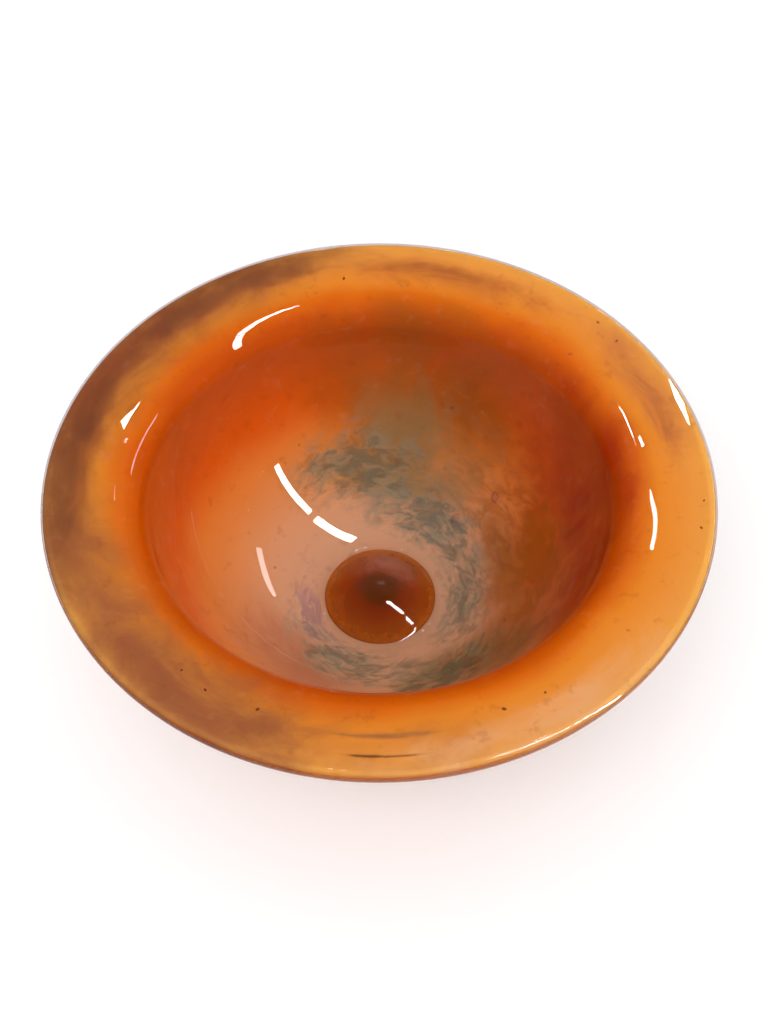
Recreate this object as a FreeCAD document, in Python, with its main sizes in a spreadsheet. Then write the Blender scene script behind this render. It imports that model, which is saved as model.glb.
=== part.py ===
import FreeCAD, Part
import Sketcher
import math
import os

# Art glass bowl, blown and cased. Millimetres, +Z up.
# Origin: centre of the ground foot ring, on the surface that the bowl stands on.
#
# Every layer of the wall is drawn the same way, a set depth below the bowl's upper surface:
# a flat floor, the bowl's round side, the bend at the mouth and the wide rising rim.

DIMENSIONS = {
    "rim_radius": 125.0,         # outermost radius of the wide rim
    "overall_height": 102.0,     # resting surface to the top of the rim
    "mouth_radius": 88.0,        # inside of the bowl where the bend starts
    "bend_radius": 13.0,         # bend from the bowl's side to the rim, upper surface
    "rim_slope": 9.4,            # degrees that the rim rises towards its edge
    "flat_radius": 11.5,         # flat middle of the floor
    "inner_thickness": 1.8,      # clear casing inside the colour
    "core_thickness": 0.8,       # orange colour
    "outer_thickness": 1.8,      # clear casing outside the colour
    "lip_land": 0.4,             # straight part of the edge bead before its round
    "foot_radius": 26.0,
    "foot_height": 6.2,          # resting surface to the outer casing
    "foot_round": 2.4,
    "pontil_radius": 16.0,       # polished hollow under the foot
    "pontil_depth": 3.0,
    "button_radius": 25.2,       # amber lens at the centre of the floor
    "button_rise": 9.0,
    "dome_blend": 5.0,           # inner casing flows from the dome into the floor
    "colour_thickness": 0.6,     # trails and patches, lying on the orange core
}

# Coloured trails and patches, as bent bars about the bowl's axis seen from above:
# (reach as a share of the mouth radius, half breadth in mm, from and to in degrees).
BOWL_COLOURS = {
    "grey_green_trail_far": (0.68, 7.5, 84.0, 118.0),
    "grey_green_trail_upper": (0.50, 6.5, 42.0, 78.0),
    "grey_green_trail_right": (0.44, 6.0, -24.0, 20.0),
    "grey_green_trail_near_right": (0.60, 5.0, -68.0, -40.0),
    "grey_green_trail_near": (0.45, 5.5, -118.0, -82.0),
    "amber_swirl": (0.74, 6.5, -26.0, 42.0),
    "violet_cloud": (0.36, 3.6, 176.0, 222.0),
}
# The same on the rim, with the reach as a share of the way from the bend to the rim's edge.
RIM_COLOURS = {
    "smoky_patch_left": (0.60, 6.0, 156.0, 192.0),
    "smoky_patch_far_left": (0.62, 6.0, 104.0, 144.0),
    "smoky_streak_far": (0.48, 3.0, 58.0, 92.0),
    "smoky_patch_right": (0.50, 3.6, 6.0, 22.0),
    "smoky_streak_near": (0.66, 1.3, -96.0, -84.0),
    "smoky_crescent_near": (0.38, 1.6, -101.0, -79.0),
}
# Dark specks of frit in the rim: (reach as above, angle in degrees).
FRIT_PLACES = [
    (0.30, -128.0),
    (0.36, -122.0),
    (0.28, -112.0),
    (0.30, -68.0),
    (0.34, -60.0),
    (0.70, 34.0),
    (0.74, 40.0),
    (0.26, 98.0),
    (0.80, -8.0),
    (0.78, -14.0),
]
FRIT_RADIUS = 0.9

doc = FreeCAD.newDocument("ArtGlassBowl")


# ---------------------------------------------------------------- dimensions

sheet = doc.addObject("Spreadsheet::Sheet", "Dimensions")


def put_on_sheet(alias, value):
    put_on_sheet.row += 1
    cell = f"B{put_on_sheet.row}"
    sheet.set(f"A{put_on_sheet.row}", alias)
    sheet.set(cell, str(value))
    sheet.setAlias(cell, alias)


put_on_sheet.row = 0
for alias, value in DIMENSIONS.items():
    put_on_sheet(alias, value)
put_on_sheet("frit_radius", FRIT_RADIUS)
for name, (reach, half, start, end) in {**BOWL_COLOURS, **RIM_COLOURS}.items():
    put_on_sheet(f"{name}_reach", reach)
    put_on_sheet(f"{name}_half", half)
    put_on_sheet(f"{name}_from", start)
    put_on_sheet(f"{name}_to", end)
for number, (reach, angle) in enumerate(FRIT_PLACES, start=1):
    put_on_sheet(f"frit_{number}_reach", reach)
    put_on_sheet(f"frit_{number}_angle", angle)
doc.recompute()

# Lengths worked out from the sheet. The bowl's side is the one arc that leaves the flat floor
# level and meets the bend smoothly.
WORKED = {
    "wall": "Dimensions.inner_thickness + Dimensions.core_thickness + Dimensions.outer_thickness",
    "lip_radius": "Dimensions.rim_radius - wall / 2",
    "lip_height": "Dimensions.overall_height - wall / 2",
    "bend_centre": "Dimensions.mouth_radius + Dimensions.bend_radius",
    "bend_middle": "Dimensions.bend_radius - wall / 2",
    "rim_run": "(lip_radius - bend_centre + bend_middle * sin(Dimensions.rim_slope))"
               " / cos(Dimensions.rim_slope)",
    "bend_height": "lip_height - bend_middle * cos(Dimensions.rim_slope)"
                   " - rim_run * sin(Dimensions.rim_slope)",
    "floor_height": "Dimensions.foot_height + wall",
    "side_reach": "bend_centre - Dimensions.flat_radius",
    "side_rise": "bend_height - floor_height",
    "side_radius": "(side_reach ^ 2 + side_rise ^ 2 - Dimensions.bend_radius ^ 2)"
                   " / (2 * (side_rise + Dimensions.bend_radius))",
    "button_seat": "floor_height - Dimensions.inner_thickness",
    "button_top": "button_seat + Dimensions.button_rise",
    "button_sphere": "(Dimensions.button_radius ^ 2 + Dimensions.button_rise ^ 2)"
                     " / (2 * Dimensions.button_rise)",
    "dome_sphere": "button_sphere + Dimensions.inner_thickness",
    "dome_top": "button_top + Dimensions.inner_thickness",
    "rim_width": "Dimensions.rim_radius - bend_centre",
    "pontil_sphere": "(Dimensions.pontil_radius ^ 2 + Dimensions.pontil_depth ^ 2)"
                     " / (2 * Dimensions.pontil_depth)",
}
worked = doc.addObject("App::VarSet", "Worked")
for name in WORKED:
    worked.addProperty("App::PropertyFloat", name, "Worked")
for name, expression in WORKED.items():
    worked.setExpression(name, expression)
doc.recompute()


def cell(alias):
    """Value on the sheet, for a first position that the sketch's own sizes then hold."""
    return float(sheet.get(alias))


# ---------------------------------------------------------------- sketch help

START, END, CENTRE = 1, 2, 3
HORIZONTAL_AXIS, VERTICAL_AXIS = -1, -2


def point(x, y):
    return FreeCAD.Vector(x, y, 0)


def line(sketch, first, last):
    return sketch.addGeometry(Part.LineSegment(point(*first), point(*last)))


def arc(sketch, centre, radius, from_degrees, to_degrees):
    """Counter-clockwise arc. Returns its number."""
    circle = Part.Circle(point(*centre), FreeCAD.Vector(0, 0, 1), radius)
    first, last = math.radians(from_degrees), math.radians(to_degrees)
    return sketch.addGeometry(Part.ArcOfCircle(circle, first, last))


def join(sketch, kind, *ends):
    sketch.addConstraint(Sketcher.Constraint(kind, *ends))


def size(sketch, kind, ends, value, expression):
    number = sketch.addConstraint(Sketcher.Constraint(kind, *ends, value))
    sketch.setExpression(f"Constraints[{number}]", expression)


def on_circle(centre, radius, degrees):
    angle = math.radians(degrees)
    return (centre[0] + radius * math.cos(angle), centre[1] + radius * math.sin(angle))


def degrees_from(centre, place):
    return math.degrees(math.atan2(place[1] - centre[1], place[0] - centre[0])) % 360


def crossing(centre, radius, other, other_radius):
    """Where two circles in a section cross, on the side away from the axis and higher up."""
    apart = math.dist(centre, other)
    along = (apart**2 + radius**2 - other_radius**2) / (2 * apart)
    across = math.sqrt(radius**2 - along**2)
    ux, uy = (other[0] - centre[0]) / apart, (other[1] - centre[1]) / apart
    middle = (centre[0] + ux * along, centre[1] + uy * along)
    return (middle[0] + uy * across, middle[1] - ux * across)


def body_sketch(body, name, role="XZ_Plane"):
    sketch = body.newObject("Sketcher::SketchObject", name)
    plane = next(f for f in body.Origin.OriginFeatures if f.Role == role)
    sketch.AttachmentSupport = [(plane, "")]
    sketch.MapMode = "FlatFace"
    return sketch


def round_edges(shape):
    """Circular edges of a shape with the names that a fillet wants."""
    return [(f"Edge{number}", edge) for number, edge in enumerate(shape.Edges, start=1)
            if not edge.Degenerated and isinstance(edge.Curve, Part.Circle)]


def turn(body, sketch, kind, name):
    """Full turn of a section about the bowl's axis."""
    feature = body.newObject(kind, name)
    feature.Profile = sketch
    feature.ReferenceAxis = (sketch, ["V_Axis"])
    feature.Angle = 360
    return feature


# ---------------------------------------------------------------- section lines

side_centre = (cell("flat_radius"), worked.floor_height + worked.side_radius)
bend_centre = (worked.bend_centre, worked.bend_height)
side_end = degrees_from(side_centre, bend_centre)


def wall_line(sketch, depth, depth_text, side_limit=side_end):
    """Floor and side of the bowl a set depth below its upper surface. Returns both numbers."""
    height = worked.floor_height - depth
    flat = line(sketch, (0, height), (cell("flat_radius"), height))
    side = arc(sketch, side_centre, worked.side_radius + depth, 270, side_limit)
    join(sketch, "PointOnObject", flat, START, VERTICAL_AXIS)
    join(sketch, "Horizontal", flat)
    join(sketch, "Tangent", flat, END, side, START)
    size(sketch, "DistanceY", (flat, START), height, f"Worked.floor_height - ({depth_text})")
    size(sketch, "DistanceX", (side, CENTRE), side_centre[0], "Dimensions.flat_radius")
    size(sketch, "DistanceY", (side, CENTRE), side_centre[1],
         "Worked.floor_height + Worked.side_radius")
    return flat, side


def bend_and_rim_line(sketch, side, depth, lip):
    """Bend at the mouth and straight rim, going on from the bowl's side."""
    slope = cell("rim_slope")
    radius = cell("bend_radius") - depth
    bend = arc(sketch, bend_centre, radius, 90 + slope, 180 + side_end)
    rim = line(sketch, on_circle(bend_centre, radius, 90 + slope), lip)
    join(sketch, "Tangent", side, END, bend, END)
    join(sketch, "Tangent", bend, START, rim, START)
    size(sketch, "DistanceX", (bend, CENTRE), bend_centre[0], "Worked.bend_centre")
    size(sketch, "DistanceY", (bend, CENTRE), bend_centre[1], "Worked.bend_height")
    size(sketch, "Angle", (rim,), math.radians(slope), "Dimensions.rim_slope")
    return rim


def lip_point(depth, short_of_edge):
    """Point of the straight rim that far short of the edge's round, measured along the rim."""
    slope = math.radians(cell("rim_slope"))
    rise = worked.wall / 2 - depth
    return (worked.lip_radius - short_of_edge * math.cos(slope) - rise * math.sin(slope),
            worked.lip_height - short_of_edge * math.sin(slope) + rise * math.cos(slope))


def layer_section(sketch, top, top_text, bottom, bottom_text):
    """Section of a layer between two depths below the bowl's upper surface."""
    land = cell("lip_land")
    flat_top, side_top = wall_line(sketch, top, top_text)
    rim_top = bend_and_rim_line(sketch, side_top, top, lip_point(top, land))
    flat_bottom, side_bottom = wall_line(sketch, bottom, bottom_text)
    rim_bottom = bend_and_rim_line(sketch, side_bottom, bottom, lip_point(bottom, land))
    end = line(sketch, lip_point(top, land), lip_point(bottom, land))
    middle = line(sketch, (0, worked.floor_height - bottom), (0, worked.floor_height - top))
    join(sketch, "Coincident", rim_top, END, end, START)
    join(sketch, "Coincident", end, END, rim_bottom, END)
    join(sketch, "Perpendicular", rim_top, end)
    size(sketch, "DistanceX", (rim_top, END), lip_point(top, land)[0],
         "Worked.lip_radius - Dimensions.lip_land * cos(Dimensions.rim_slope)"
         f" - (Worked.wall / 2 - ({top_text})) * sin(Dimensions.rim_slope)")
    join(sketch, "Coincident", flat_bottom, START, middle, START)
    join(sketch, "Coincident", flat_top, START, middle, END)


def layer_body(name, top, top_text, bottom, bottom_text):
    body = doc.addObject("PartDesign::Body", name)
    sketch = body_sketch(body, f"{name}_section")
    layer_section(sketch, top, top_text, bottom, bottom_text)
    turn(body, sketch, "PartDesign::Revolution", f"{name}_turn")
    return body


INNER = "Dimensions.inner_thickness"
CORE = "Dimensions.inner_thickness + Dimensions.core_thickness"
WALL = "Worked.wall"
COLOUR_TOP = "Dimensions.inner_thickness - Dimensions.colour_thickness"
inner_depth = cell("inner_thickness")
core_depth = inner_depth + cell("core_thickness")


# ---------------------------------------------------------------- the glass

def button_section(sketch):
    """Lens with a round top, lying on the orange core."""
    sphere = worked.button_sphere
    centre = (0, worked.button_top - sphere)
    edge = crossing(centre, sphere, side_centre, worked.side_radius + inner_depth)
    flat, side = wall_line(sketch, inner_depth, INNER, degrees_from(side_centre, edge))
    cap = arc(sketch, centre, sphere, degrees_from(centre, edge), 90)
    middle = line(sketch, (0, worked.button_top), (0, worked.button_seat))
    join(sketch, "Coincident", side, END, cap, START)
    join(sketch, "PointOnObject", cap, CENTRE, VERTICAL_AXIS)
    join(sketch, "Coincident", cap, END, middle, START)
    join(sketch, "Coincident", flat, START, middle, END)
    join(sketch, "PointOnObject", cap, END, VERTICAL_AXIS)
    size(sketch, "Radius", (cap,), sphere, "Worked.button_sphere")
    size(sketch, "DistanceY", (cap, END), worked.button_top, "Worked.button_top")


def make_base_button():
    """Solid amber lens under the dome."""
    body = doc.addObject("PartDesign::Body", "base_button")
    sketch = body_sketch(body, "base_button_section")
    button_section(sketch)
    turn(body, sketch, "PartDesign::Revolution", "base_button_turn")
    return body


def dome_section(sketch):
    """Dome over the button, with a hollow blend that runs out level with the floor."""
    sphere, blend = worked.dome_sphere, cell("dome_blend")
    centre = (0, worked.dome_top - sphere)
    blend_centre = crossing(centre, sphere + blend, side_centre, worked.side_radius - blend)
    meet_cap = degrees_from(blend_centre, centre)
    meet_floor = degrees_from(side_centre, blend_centre)
    inside = inner_depth / 2
    flat, side = wall_line(sketch, inside, "Dimensions.inner_thickness / 2", meet_floor)
    floor = sketch.addGeometry(
        Part.Circle(point(*side_centre), FreeCAD.Vector(0, 0, 1), worked.side_radius), True)
    rise = line(sketch, on_circle(side_centre, worked.side_radius + inside, meet_floor),
                on_circle(side_centre, worked.side_radius, meet_floor))
    hollow = arc(sketch, blend_centre, blend, meet_cap, meet_floor)
    cap = arc(sketch, centre, sphere, meet_cap - 180, 90)
    middle = line(sketch, (0, worked.dome_top), (0, worked.floor_height - inside))
    join(sketch, "Coincident", floor, CENTRE, side, CENTRE)
    size(sketch, "Radius", (floor,), worked.side_radius, "Worked.side_radius")
    join(sketch, "Perpendicular", side, END, rise, START)
    join(sketch, "Coincident", rise, END, hollow, END)
    join(sketch, "Tangent", hollow, END, floor)
    join(sketch, "Tangent", hollow, START, cap, START)
    join(sketch, "PointOnObject", cap, CENTRE, VERTICAL_AXIS)
    join(sketch, "PointOnObject", cap, END, VERTICAL_AXIS)
    join(sketch, "Coincident", cap, END, middle, START)
    join(sketch, "Coincident", middle, END, flat, START)
    size(sketch, "Radius", (hollow,), blend, "Dimensions.dome_blend")
    size(sketch, "Radius", (cap,), sphere, "Worked.dome_sphere")
    size(sketch, "DistanceY", (cap, END), worked.dome_top, "Worked.dome_top")


def make_inner_casing():
    """Clear casing that domes over the button and flows back into the floor."""
    body = layer_body("clear_inner_layer", 0, "0", inner_depth, INNER)

    dome = body_sketch(body, "dome_section")
    dome_section(dome)
    turn(body, dome, "PartDesign::Revolution", "dome")

    seat = body_sketch(body, "button_seat_section")
    button_section(seat)
    turn(body, seat, "PartDesign::Groove", "button_seat")
    return body


def make_lip_wrap():
    """Fire-polished clear bead that closes the layers at the rim's edge."""
    body = doc.addObject("PartDesign::Body", "lip_wrap")
    sketch = body_sketch(body, "lip_wrap_section")
    land, slope, half = cell("lip_land"), cell("rim_slope"), worked.wall / 2
    centre = (worked.lip_radius, worked.lip_height)
    end = line(sketch, lip_point(worked.wall, land), lip_point(0, land))
    top = line(sketch, lip_point(0, land), lip_point(0, 0))
    edge = arc(sketch, centre, half, slope - 90, slope + 90)
    under = line(sketch, lip_point(worked.wall, 0), lip_point(worked.wall, land))
    join(sketch, "Coincident", end, END, top, START)
    join(sketch, "Tangent", top, END, edge, END)
    join(sketch, "Tangent", edge, START, under, START)
    join(sketch, "Coincident", under, END, end, START)
    join(sketch, "Perpendicular", end, top)
    size(sketch, "DistanceX", (edge, CENTRE), centre[0], "Worked.lip_radius")
    size(sketch, "DistanceY", (edge, CENTRE), centre[1], "Worked.lip_height")
    size(sketch, "Radius", (edge,), half, "Worked.wall / 2")
    size(sketch, "Angle", (top,), math.radians(slope), "Dimensions.rim_slope")
    join(sketch, "Parallel", top, under)
    size(sketch, "Distance", (top,), land, "Dimensions.lip_land")
    turn(body, sketch, "PartDesign::Revolution", "lip_wrap_turn")
    return body


def make_foot_disc():
    """Disc under the bowl: ground flat ring, rounded outer edge, polished hollow."""
    body = doc.addObject("PartDesign::Body", "foot_disc")
    radius = cell("foot_radius")
    depth = worked.wall
    sketch = body_sketch(body, "foot_disc_section")
    fall = math.degrees(math.asin((radius - side_centre[0]) / (worked.side_radius + depth)))
    flat, side = wall_line(sketch, depth, WALL, fall - 90)
    top = on_circle(side_centre, worked.side_radius + depth, fall - 90)
    wall = line(sketch, top, (radius, 0))
    ground = line(sketch, (radius, 0), (0, 0))
    middle = line(sketch, (0, 0), (0, worked.floor_height - depth))
    join(sketch, "Coincident", side, END, wall, START)
    join(sketch, "Vertical", wall)
    join(sketch, "Coincident", wall, END, ground, START)
    join(sketch, "PointOnObject", wall, END, HORIZONTAL_AXIS)
    join(sketch, "Coincident", ground, END, middle, START)
    join(sketch, "Coincident", middle, START, -1, 1)
    join(sketch, "Coincident", middle, END, flat, START)
    size(sketch, "DistanceX", (wall, END), radius, "Dimensions.foot_radius")
    disc = turn(body, sketch, "PartDesign::Revolution", "foot_disc_turn")
    doc.recompute()

    ground_edge = next(
        name for name, edge in round_edges(disc.Shape)
        if abs(edge.CenterOfMass.z) < 1e-6 and abs(edge.Curve.Center.z) < 1e-6)
    rounding = body.newObject("PartDesign::Fillet", "foot_round")
    rounding.Base = (disc, [ground_edge])
    rounding.setExpression("Radius", "Dimensions.foot_round")
    doc.recompute()

    sphere = worked.pontil_sphere
    centre = (0, cell("pontil_depth") - sphere)
    start = degrees_from(centre, (cell("pontil_radius"), 0))
    hollow = body_sketch(body, "pontil_section")
    base = line(hollow, (0, 0), (cell("pontil_radius"), 0))
    cap = arc(hollow, centre, sphere, start, 90)
    upright = line(hollow, (0, cell("pontil_depth")), (0, 0))
    join(hollow, "Coincident", base, START, -1, 1)
    join(hollow, "Horizontal", base)
    join(hollow, "Coincident", base, END, cap, START)
    join(hollow, "PointOnObject", cap, CENTRE, VERTICAL_AXIS)
    join(hollow, "PointOnObject", cap, END, VERTICAL_AXIS)
    join(hollow, "Coincident", cap, END, upright, START)
    join(hollow, "Coincident", upright, END, base, START)
    size(hollow, "DistanceX", (base, END), cell("pontil_radius"), "Dimensions.pontil_radius")
    size(hollow, "DistanceY", (cap, END), cell("pontil_depth"), "Dimensions.pontil_depth")
    turn(body, hollow, "PartDesign::Groove", "pontil")
    return body


# ---------------------------------------------------------------- the colours

BOWL_REACH = "Dimensions.{0}_reach * Dimensions.mouth_radius"
RIM_REACH = "Worked.bend_centre + Dimensions.{0}_reach * Worked.rim_width"


def column(name, sketch):
    """Upright column over a plan, tall enough to pass through the whole wall."""
    extrusion = doc.addObject("Part::Extrusion", f"{name}_column")
    extrusion.Base = sketch
    extrusion.DirMode = "Normal"
    extrusion.Solid = True
    extrusion.setExpression("LengthFwd", "Dimensions.overall_height")
    return extrusion


def held_in_bed(name, upright):
    """What an upright column takes out of the thin bed of colour on the core."""
    piece = doc.addObject("Part::Common", name)
    piece.Base = colour_bed
    piece.Tool = upright
    return piece


def make_bent_bar(name, reach, reach_text):
    """Trail or patch whose plan is a bar bent about the bowl's axis, with round ends."""
    half = cell(f"{name}_half")
    first, last = cell(f"{name}_from"), cell(f"{name}_to")
    sketch = doc.addObject("Sketcher::SketchObject", f"{name}_plan")
    inside = arc(sketch, (0, 0), reach - half, first, last)
    outside = arc(sketch, (0, 0), reach + half, first, last)
    ends = []
    for angle, turned in ((first, 180), (last, 0)):
        centre = on_circle((0, 0), reach, angle)
        cap = arc(sketch, centre, half, angle + turned, angle + turned + 180)
        spoke = line(sketch, (0, 0), centre)
        sketch.toggleConstruction(spoke)
        join(sketch, "Coincident", spoke, START, -1, 1)
        join(sketch, "Coincident", spoke, END, cap, CENTRE)
        ends.append((cap, spoke))
    (cap_first, spoke_first), (cap_last, spoke_last) = ends
    join(sketch, "Coincident", inside, CENTRE, -1, 1)
    join(sketch, "Coincident", outside, CENTRE, -1, 1)
    join(sketch, "Tangent", inside, START, cap_first, START)
    join(sketch, "Tangent", cap_first, END, outside, START)
    join(sketch, "Tangent", outside, END, cap_last, START)
    join(sketch, "Tangent", cap_last, END, inside, END)
    size(sketch, "Radius", (cap_first,), half, f"Dimensions.{name}_half")
    size(sketch, "Radius", (inside,), reach - half, f"{reach_text} - Dimensions.{name}_half")
    size(sketch, "Angle", (HORIZONTAL_AXIS, spoke_first), math.radians(first),
         f"Dimensions.{name}_from")
    size(sketch, "Angle", (HORIZONTAL_AXIS, spoke_last), math.radians(last),
         f"Dimensions.{name}_to")
    return held_in_bed(name, column(name, sketch))


def make_frit_specks():
    """Crumbs of dark frit scattered in the rim."""
    sketch = doc.addObject("Sketcher::SketchObject", "frit_specks_plan")
    for number, (reach, angle) in enumerate(FRIT_PLACES, start=1):
        away = worked.bend_centre + reach * worked.rim_width
        place = on_circle((0, 0), away, angle)
        circle = sketch.addGeometry(
            Part.Circle(point(*place), FreeCAD.Vector(0, 0, 1), cell("frit_radius")))
        spread = f"(Worked.bend_centre + Dimensions.frit_{number}_reach * Worked.rim_width)"
        size(sketch, "Radius", (circle,), cell("frit_radius"), "Dimensions.frit_radius")
        size(sketch, "DistanceX", (circle, CENTRE), place[0],
             f"{spread} * cos(Dimensions.frit_{number}_angle)")
        size(sketch, "DistanceY", (circle, CENTRE), place[1],
             f"{spread} * sin(Dimensions.frit_{number}_angle)")
    return held_in_bed("frit_specks", column("frit_specks", sketch))


# ---------------------------------------------------------------- assembly

pieces = []

orange_core = layer_body("orange_core", inner_depth, INNER, core_depth, CORE)
outer_casing = layer_body("outer_casing", core_depth, CORE, worked.wall, WALL)
pieces += [orange_core, outer_casing, make_lip_wrap(), make_base_button(), make_foot_disc()]

colour_bed = layer_body("colour_bed", inner_depth - cell("colour_thickness"), COLOUR_TOP,
                        inner_depth, INNER)
colours = []
for name, (reach, *_) in BOWL_COLOURS.items():
    away = reach * cell("mouth_radius")
    colours.append(make_bent_bar(name, away, BOWL_REACH.format(name)))
for name, (reach, *_) in RIM_COLOURS.items():
    away = worked.bend_centre + reach * worked.rim_width
    colours.append(make_bent_bar(name, away, RIM_REACH.format(name)))
colours.append(make_frit_specks())
pieces += colours

all_colours = doc.addObject("Part::MultiFuse", "all_colours")
all_colours.Shapes = colours
inner_casing = doc.addObject("Part::Cut", "inner_casing")
inner_casing.Base = make_inner_casing()
inner_casing.Tool = all_colours
pieces.append(inner_casing)

doc.recompute()

# ---------------------------------------------------------------- checks and export

for piece in doc.Objects:
    if "Invalid" in piece.State or "Error" in piece.State:
        raise RuntimeError(f"{piece.Name} did not recompute: {piece.State}")

os.makedirs("parts", exist_ok=True)
for piece in pieces:
    piece.Label = piece.Name
    if piece.Shape.isNull() or not piece.Shape.isValid():
        raise RuntimeError(f"{piece.Name} has no valid shape")
    piece.Shape.exportStep(f"parts/{piece.Name}.step")
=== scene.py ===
import math

import bpy
from mathutils import Euler, Matrix, Vector, noise


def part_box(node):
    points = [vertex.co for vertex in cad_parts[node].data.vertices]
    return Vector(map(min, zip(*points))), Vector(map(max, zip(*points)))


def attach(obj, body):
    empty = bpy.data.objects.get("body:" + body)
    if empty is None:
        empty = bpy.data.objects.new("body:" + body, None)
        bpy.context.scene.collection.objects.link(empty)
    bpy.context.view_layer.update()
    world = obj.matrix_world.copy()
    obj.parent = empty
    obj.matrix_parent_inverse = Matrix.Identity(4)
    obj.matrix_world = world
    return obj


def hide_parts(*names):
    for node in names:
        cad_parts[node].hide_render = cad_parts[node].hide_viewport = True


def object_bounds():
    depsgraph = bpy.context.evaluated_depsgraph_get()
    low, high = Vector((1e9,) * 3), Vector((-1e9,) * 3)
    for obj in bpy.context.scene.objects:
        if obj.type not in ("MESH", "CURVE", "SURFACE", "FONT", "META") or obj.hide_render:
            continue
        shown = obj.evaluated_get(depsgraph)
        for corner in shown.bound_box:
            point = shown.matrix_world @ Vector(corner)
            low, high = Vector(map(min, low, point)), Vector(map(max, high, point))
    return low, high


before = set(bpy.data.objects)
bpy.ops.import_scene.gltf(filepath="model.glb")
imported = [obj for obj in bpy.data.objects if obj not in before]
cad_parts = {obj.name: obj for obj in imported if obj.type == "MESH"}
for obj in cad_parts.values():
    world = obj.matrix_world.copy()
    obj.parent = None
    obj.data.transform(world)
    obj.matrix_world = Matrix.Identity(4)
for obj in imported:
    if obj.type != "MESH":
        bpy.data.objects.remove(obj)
cad_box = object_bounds()

# ---------------------------------------------------------------- the bowl's measures, metres
# Overall sizes come from the frame. The wall is drawn by its depth below the upper surface.

RIM_RADIUS = (cad_box[1][0] - cad_box[0][0]) / 2
TOP = cad_box[1][2]
FOOT_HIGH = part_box("foot_disc")[1]
BUTTON_LOW, BUTTON_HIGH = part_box("base_button")

INNER = 0.0018               # clear casing inside the colour
CORE = 0.0008                # orange colour
OUTER = 0.0018               # clear casing outside the colour
WALL = INNER + CORE + OUTER
FLOOR = BUTTON_LOW[2] + INNER
FLAT_RADIUS = 0.0115
MOUTH_RADIUS = 0.088
BEND_RADIUS = 0.013
RIM_SLOPE = math.radians(9.4)
COLOUR_PAST_LIP = 0.0008     # colour runs a little way into the round edge
LIP_CREASE = 0.0002          # the flat of the rim stays flat up to here from the round edge
THIN_TO = 0.045              # colour is thinnest up to here, and full from the next
FULL_FROM = 0.080
THINNEST = 0.2
DOME_BLEND = 0.005           # round between the dome and the floor
FOOT_ROUND = 0.0024
FOOT_FILLET = 0.002          # round between the wall and the foot
PONTIL_RADIUS = 0.016
PONTIL_DEPTH = 0.003

LIP = Vector((RIM_RADIUS - WALL / 2, TOP - WALL / 2))
ALONG_RIM = Vector((math.cos(RIM_SLOPE), math.sin(RIM_SLOPE)))
UP_FROM_RIM = Vector((-math.sin(RIM_SLOPE), math.cos(RIM_SLOPE)))
BEND_X = MOUTH_RADIUS + BEND_RADIUS
RIM_RUN = ((LIP.x - BEND_X + (BEND_RADIUS - WALL / 2) * math.sin(RIM_SLOPE))
           / math.cos(RIM_SLOPE))
BEND_CENTRE = Vector((BEND_X, LIP.y - (BEND_RADIUS - WALL / 2) * math.cos(RIM_SLOPE)
                      - RIM_RUN * math.sin(RIM_SLOPE)))
SIDE_REACH = BEND_CENTRE.x - FLAT_RADIUS
SIDE_RISE = BEND_CENTRE.y - FLOOR
SIDE_RADIUS = ((SIDE_REACH**2 + SIDE_RISE**2 - BEND_RADIUS**2)
               / (2 * (SIDE_RISE + BEND_RADIUS)))
SIDE_CENTRE = Vector((FLAT_RADIUS, FLOOR + SIDE_RADIUS))

BUTTON_RADIUS = 0.0252
BUTTON_RISE = BUTTON_HIGH[2] - BUTTON_LOW[2]
BUTTON_SPHERE = (BUTTON_RADIUS**2 + BUTTON_RISE**2) / (2 * BUTTON_RISE)
DOME_SPHERE = BUTTON_SPHERE + INNER
DOME_CENTRE = Vector((0, BUTTON_HIGH[2] - BUTTON_SPHERE))

# ---------------------------------------------------------------- outlines


def bearing(centre, place):
    return math.atan2(place.y - centre.y, place.x - centre.x)


def arc(centre, radius, start, end, count):
    """Points along an arc, both ends included."""
    steps = [start + (end - start) * i / count for i in range(count + 1)]
    return [centre + radius * Vector((math.cos(a), math.sin(a))) for a in steps]


def straight(first, last, count):
    return [first.lerp(last, i / count) for i in range(count + 1)]


def joined(*stretches):
    """One outline out of several stretches, without the points that they share."""
    outline = []
    for stretch in stretches:
        for place in stretch:
            if not outline or (place - outline[-1]).length > 1e-6:
                outline.append(place)
    return outline


def crossing(centre, radius, other, other_radius):
    """Where two circles cross, on the side away from the axis."""
    apart = (other - centre).length
    along = (apart**2 + radius**2 - other_radius**2) / (2 * apart)
    across = math.sqrt(radius**2 - along**2)
    towards = (other - centre) / apart
    return centre + towards * along + Vector((towards.y, -towards.x)) * across


SIDE_END = bearing(SIDE_CENTRE, BEND_CENTRE)


def side_line(depth, start=-math.pi / 2):
    return arc(SIDE_CENTRE, SIDE_RADIUS + depth, start, SIDE_END, 46)


def bend_line(depth):
    return arc(BEND_CENTRE, BEND_RADIUS - depth, math.pi + SIDE_END,
               math.pi / 2 + RIM_SLOPE, 16)


def rim_point(depth, short_of_lip):
    return LIP - ALONG_RIM * short_of_lip + UP_FROM_RIM * (WALL / 2 - depth)


def rim_line(depth, short_of_lip):
    start = BEND_CENTRE + (BEND_RADIUS - depth) * UP_FROM_RIM
    return straight(start, rim_point(depth, short_of_lip), 12)


def floor_line(depth):
    height = FLOOR - depth
    return straight(Vector((0, height)), Vector((FLAT_RADIUS, height)), 4)


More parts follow.
